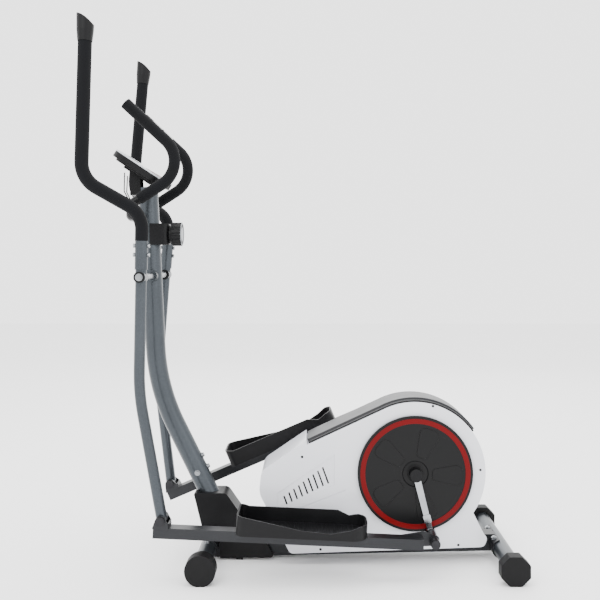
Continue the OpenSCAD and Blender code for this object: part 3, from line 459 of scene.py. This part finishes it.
# Shroud halves: rolled rim, sunk vent panel and the crease under it
shroud = {"rimRoll": 11 * mm, "holeEase": 0.7 * mm, "wall": 60 * mm, "panelDepth": 2 * mm,
          "panelFront": (-86, 178, 214), "panelBack": (86, 240, 330), "creaseDepth": 2 * mm,
          "creaseFrom": (-58, 150), "creaseTo": (118, 221), "creaseWide": 4}


def addCutter(points, side, depth):
    # A four-sided prism through the shell's side face, to sink that area by depth
    deselectAll()
    face = nodes["shroud_" + side].bound_box
    outer = max(abs(corner[1]) for corner in face)
    bpy.ops.mesh.primitive_cube_add(size=1)
    cutter = bpy.context.object
    cutter.scale = (1, 10 * mm, 1)
    cutter.location = (0, sides[side] * (outer - depth + 5 * mm), 0)
    bpy.ops.object.transform_apply(location=True, scale=True)
    corners = {(-1, -1): points[0], (1, -1): points[1], (1, 1): points[2], (-1, 1): points[3]}
    for (right, up), (x, z) in corners.items():
        editSelected(cutter, "VERT", lambda v: v.co.x * right > 0.49 and v.co.z * up > 0.49)
        bpy.ops.transform.translate(value=(x * mm - right * 0.5, 0, z * mm - up * 0.5))
        bpy.ops.object.mode_set(mode="OBJECT")
    return cutter


def sink(piece, cutter):
    cut = piece.modifiers.new("sunk", "BOOLEAN")
    cut.object = cutter
    cut.solver = "EXACT"
    activate(piece)
    bpy.ops.object.modifier_apply(modifier=cut.name)
    bpy.data.objects.remove(cutter)


def rimWeights(piece, side):
    # Rolls the outline's edge well and only eases the slots and screw holes
    mesh = piece.data
    tall = [max(mesh.vertices[v].co.y for v in f.vertices) - min(mesh.vertices[v].co.y for v in f.vertices)
            for f in mesh.polygons]
    flats = [f.normal.y * sides[side] > 0.99 for f in mesh.polygons]
    touching = {}
    for face in mesh.polygons:
        for key in face.edge_keys:
            touching.setdefault(key, []).append(face.index)
    weights = mesh.attributes.new("bevel_weight_edge", "FLOAT", "EDGE")
    for edge in mesh.edges:
        pair = touching[edge.key]
        if len(pair) != 2 or flats[pair[0]] == flats[pair[1]]:
            continue
        wall = pair[1] if flats[pair[0]] else pair[0]
        small = shroud["holeEase"] / shroud["rimRoll"]
        weights.data[edge.index].value = 1 if tall[wall] > shroud["wall"] else small


def addShroud(side):
    piece = copyOfNode("shroud_" + side)
    frontX, frontLow, frontHigh = shroud["panelFront"]
    backX, backLow, backHigh = shroud["panelBack"]
    panel = [(frontX, frontLow), (backX, backLow), (backX, backHigh), (frontX, frontHigh)]
    sink(piece, addCutter(panel, side, shroud["panelDepth"]))
    (startX, startZ), (endX, endZ) = shroud["creaseFrom"], shroud["creaseTo"]
    crease = [(startX, startZ), (endX, endZ), (endX, endZ + shroud["creaseWide"]),
              (startX, startZ + shroud["creaseWide"])]
    sink(piece, addCutter(crease, side, shroud["creaseDepth"]))
    rimWeights(piece, side)
    addBevel(piece, shroud["rimRoll"] / mm, 5, limit="WEIGHT")
    dress(piece, "shroud_" + side + "_shell", "frame", whiteAbs, smooth=40)
    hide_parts("shroud_" + side)


for side in sides:
    addShroud(side)
print("shroud shells rolled")


# Moulded, cast and sawn pieces with eased edges
eased = {
    "shroud_top_trim": (4.0, trimPlastic, "trim_plastic"),
    "mast_boot": (3.5, blackPlastic, "black_plastic"),
    "front_end_caps": (3.0, rubber, "cap_rubber"),
    "level_cap_left": (3.0, rubber, "cap_rubber"),
    "level_cap_right": (3.0, rubber, "cap_rubber"),
    "transport_wheel_left": (2.0, rubber, "cap_rubber"),
    "transport_wheel_right": (2.0, rubber, "cap_rubber"),
    "knob_housing": (3.0, blackPlastic, "black_plastic"),
    "tension_knob": (1.6, blackPlastic, "black_plastic"),
    "console_back": (5.0, blackPlastic, "black_plastic"),
    "console_face": (1.0, silverAbs, "console_silver"),
    "left_handle_grip": (2.6, foam, "foam"),
    "right_handle_grip": (2.6, foam, "foam"),
    "handlebar_grips": (2.6, foam, "foam"),
    "left_handle_cap": (2.0, blackPlastic, "black_plastic"),
    "right_handle_cap": (2.0, blackPlastic, "black_plastic"),
    "left_footplate": (1.6, blackPlastic, "black_plastic"),
    "right_footplate": (1.6, blackPlastic, "black_plastic"),
    "left_pedal_arm": (1.2, darkCoat, "base_paint"),
    "right_pedal_arm": (1.2, darkCoat, "base_paint"),
    "crank_left": (1.6, chrome, "bright_steel"),
    "crank_right": (1.6, chrome, "bright_steel"),
    "crank_discs": (2.0, blackAbs, "disc_plastic"),
    "disc_rings": (0.5, redAbs, "ring_red"),
}
for nodeName, (width, material, slotName) in eased.items():
    piece = softened(nodeName, width, material)
print("edges eased")


# Crank discs: five pressed petals on each
petals = {"angles": (70, 142, 214, 286, 358), "inner": 50 * mm, "outer": 140 * mm, "wide": 68 * mm,
          "innerShare": 0.46, "outerRound": 24 * mm, "innerRound": 9 * mm, "stand": 2.2 * mm,
          "discFace": 92 * mm, "edge": 1.6}


def roundEnd(plate, end, radius):
    editSelected(plate, "VERT", lambda v: v.co.x * end > 0)
    bpy.ops.mesh.bevel(offset=radius, segments=9, affect="VERTICES")
    bpy.ops.object.mode_set(mode="OBJECT")


def addPlate(long, wide, thick, farRound, nearRound=0, nearShare=1):
    # A flat plate in the XZ plane, rounded at its +X end, and narrower and rounded at its -X end
    deselectAll()
    bpy.ops.mesh.primitive_plane_add(size=1, rotation=(math.radians(90), 0, 0))
    plate = bpy.context.object
    bpy.ops.object.transform_apply(rotation=True)
    plate.scale = (long, 1, wide)
    bpy.ops.object.transform_apply(scale=True)
    editSelected(plate, "VERT", lambda v: v.co.x < 0)
    bpy.ops.transform.resize(value=(1, 1, nearShare), center_override=(0, 0, 0))
    bpy.ops.object.mode_set(mode="OBJECT")
    roundEnd(plate, 1, farRound)
    if nearRound:
        roundEnd(plate, -1, nearRound)
    solid = plate.modifiers.new("thick", "SOLIDIFY")
    solid.thickness = thick
    solid.offset = 0
    bake(plate)
    outwards(plate)
    return plate


def addPetal(side, angle):
    # A blunt fan blade, wide at the disc's edge and narrow at the hub
    long = petals["outer"] - petals["inner"]
    petal = addPlate(long, petals["wide"], 2 * petals["stand"], petals["outerRound"],
                     petals["innerRound"], petals["innerShare"])
    addBevel(petal, petals["edge"], 4)
    face = Vector((crankCentre.x, sides[side] * petals["discFace"], crankCentre.z))
    turn = Matrix.Rotation(-math.radians(angle), 4, "Y")
    reach = (petals["outer"] + petals["inner"]) / 2
    placeBy(petal, Matrix.Translation(face) @ turn @ Matrix.Translation((reach, 0, 0)))
    bake(petal)
    return petal


for side in sides:
    piece = joined([addPetal(side, angle) for angle in petals["angles"]])
    dress(piece, side + "_disc_petals", "crank_set", blackAbs)
print("disc petals pressed")


# Hub covers: a black moulded cap hides each crank's boss; its black also stands in for the shadow on the hub,
# as painted shade
hub = {"radius": 19.5 * mm, "stand": 1.5 * mm, "ease": 2.5, "foot": mm}


def addHubCoverAndShade(side):
    low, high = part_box("crank_" + side)
    outer = max(abs(low[1]), abs(high[1])) + hub["stand"]
    inner = petals["discFace"] - hub["foot"]
    deselectAll()
    # Black over the hub: partly a real cap, partly painted shade
    bpy.ops.mesh.primitive_cylinder_add(vertices=64, radius=hub["radius"], depth=outer - inner,
                                        location=(crankCentre.x, sides[side] * (outer + inner) / 2,
                                                  crankCentre.z), rotation=(math.radians(90), 0, 0))
    coverAndShade = bpy.context.object
    addBevel(coverAndShade, hub["ease"], 4)
    dress(coverAndShade, side + "_hub_cover_and_shade", "crank_set", blackPlastic)


for side in sides:
    addHubCoverAndShade(side)
print("hub covers set")


# Console: a smoked lens over the display and a red panel round the buttons
console = {"at": (-497 * mm, 0, 1199 * mm), "tilt": 33.5, "top": 1 * mm, "lens": (61 * mm, 103 * mm),
           "lensX": -30 * mm, "lensLow": -0.9 * mm, "redFrom": 26 * mm, "redTo": 80 * mm, "redWide": 186 * mm,
           "redThick": 0.8 * mm, "buttonX": 44 * mm, "buttons": (-54 * mm, -18 * mm, 18 * mm, 54 * mm),
           "buttonHole": 8.6 * mm, "redRound": 30 * mm, "lensGap": 0.2 * mm, "lensEdge": 0.5,
           "redEdge": 0.3}
consolePlace = Matrix.Translation(console["at"]) @ Matrix.Rotation(math.radians(console["tilt"]), 4, "Y")


def addLens():
    deselectAll()
    bpy.ops.mesh.primitive_cube_add(size=1)
    lens = bpy.context.object
    low, high = console["lensLow"], console["top"] - console["lensGap"]
    lens.scale = (console["lens"][0], console["lens"][1], high - low)
    lens.location = (console["lensX"], 0, (low + high) / 2)
    addBevel(lens, console["lensEdge"], 2)
    placeBy(lens, consolePlace)
    dress(lens, "console_lens", "frame", lensAbs)


def addRedPanel():
    long = console["redTo"] - console["redFrom"]
    panel = addPlate(long, console["redWide"], 2 * console["redThick"], console["redRound"])
    panel.rotation_euler = (math.radians(90), 0, 0)
    panel.location = (console["redFrom"] + long / 2, 0, console["top"])
    bake(panel)
    for y in console["buttons"]:
        bpy.ops.mesh.primitive_cylinder_add(vertices=40, radius=console["buttonHole"], depth=20 * mm,
                                            location=(console["buttonX"], y, 0))
        sink(panel, bpy.context.object)
    addBevel(panel, console["redEdge"], 2)
    placeBy(panel, consolePlace)
    dress(panel, "console_red_panel", "frame", redAbs)


addLens()
addRedPanel()
print("console dressed")


# Tension knob: a plated ring and a flat plated badge on its outer face
knob = {"ringIn": 3.2 * mm, "ringThick": 1.5 * mm, "badge": 0.6, "badgeStand": 0.7 * mm, "badgeEdge": 0.5}


def addKnobPlating():
    low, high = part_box("tension_knob")
    centre = joints["tension_turn"]["pos_m"]
    radius = (high[2] - low[2]) / 2
    deselectAll()
    bpy.ops.mesh.primitive_torus_add(location=(high[0], centre[1], centre[2]),
                                     rotation=(0, math.radians(90), 0), major_segments=96, minor_segments=16,
                                     major_radius=radius - knob["ringIn"], minor_radius=knob["ringThick"])
    ring = bpy.context.object
    bpy.ops.mesh.primitive_cylinder_add(vertices=72, radius=knob["badge"] * radius,
                                        depth=2 * knob["badgeStand"], rotation=(0, math.radians(90), 0),
                                        location=(high[0], centre[1], centre[2]))
    badge = bpy.context.object
    addBevel(badge, knob["badgeEdge"], 2)
    bake(badge)
    bake(ring)
    dress(joined([ring, badge]), "knob_plating", "tension_knob", zinc)


addKnobPlating()
print("knob plated")


# Footplate treads
tread = {"pitch": 13 * mm, "count": 24, "width": 104 * mm, "thick": 5 * mm, "stand": 1.6 * mm,
         "first": 250 * mm, "floor": -13.9 * mm, "middle": 190 * mm, "edge": 1.2}


def addTread(side):
    deselectAll()
    bpy.ops.mesh.primitive_cube_add(size=1)
    rib = bpy.context.object
    rib.scale = (tread["thick"], tread["width"], 2 * tread["stand"])
    bpy.ops.object.transform_apply(scale=True)
    addBevel(rib, tread["edge"])
    rows = rib.modifiers.new("rows", "ARRAY")
    rows.use_relative_offset = False
    rows.use_constant_offset = True
    rows.constant_offset_displace = (tread["pitch"], 0, 0)
    rows.count = tread["count"]
    start = (tread["first"], sides[side] * tread["middle"], tread["floor"])
    placeBy(rib, armFrame(side) @ Matrix.Translation(start))
    dress(rib, side + "_tread", side + "_pedal", blackPlastic)


for side in sides:
    addTread(side)
print("treads laid")


# Floor and light
studio = {
    "floorHalf": 9,
    "key": ((-1.6, -3.4, 3.4), 2.2, 85),
    "fill": ((2.8, -2.6, 2.2), 2.4, 20),
    "top": ((0.0, 0.6, 4.2), 3.2, 120),
    "back": ((0.4, 3.4, 2.6), 3.0, 40),
    "sky": 2.8,
}


def addFloor():
    deselectAll()
    bpy.ops.mesh.primitive_plane_add(size=2 * studio["floorHalf"])
    floor = bpy.context.object
    floor.name = "floor"
    material, tree, shader, where = newMaterial("paperFloor", Roughness=0.85)
    tone = addNode(tree, "ShaderNodeTexNoise", {"Vector": where, "Scale": 0.6})
    colour = addNode(tree, "ShaderNodeMix", {"Factor": tone.outputs["Fac"], "A": linear("#f4f4f4"),
                                             "B": linear("#f8f8f8")}, data_type="RGBA")
    tree.links.new(colour.outputs["Result"], shader.inputs["Base Color"])
    floor.data.materials.append(material)


def addLights():
    for name in ("key", "fill", "top", "back"):
        place, size, power = studio[name]
        data = bpy.data.lights.new(name, "AREA")
        data.energy = power
        data.size = size
        lamp = bpy.data.objects.new(name, data)
        lamp.location = place
        aim = Vector((0, 0, 0.75)) - Vector(place)
        lamp.rotation_euler = aim.to_track_quat("-Z", "Y").to_euler()
        scene.collection.objects.link(lamp)
    world = bpy.data.worlds.new("paper")
    world.use_nodes = True
    world.node_tree.nodes["Background"].inputs["Color"].default_value = (1, 1, 1, 1)
    world.node_tree.nodes["Background"].inputs["Strength"].default_value = studio["sky"]
    scene.world = world


addFloor()
addLights()
print("studio set")
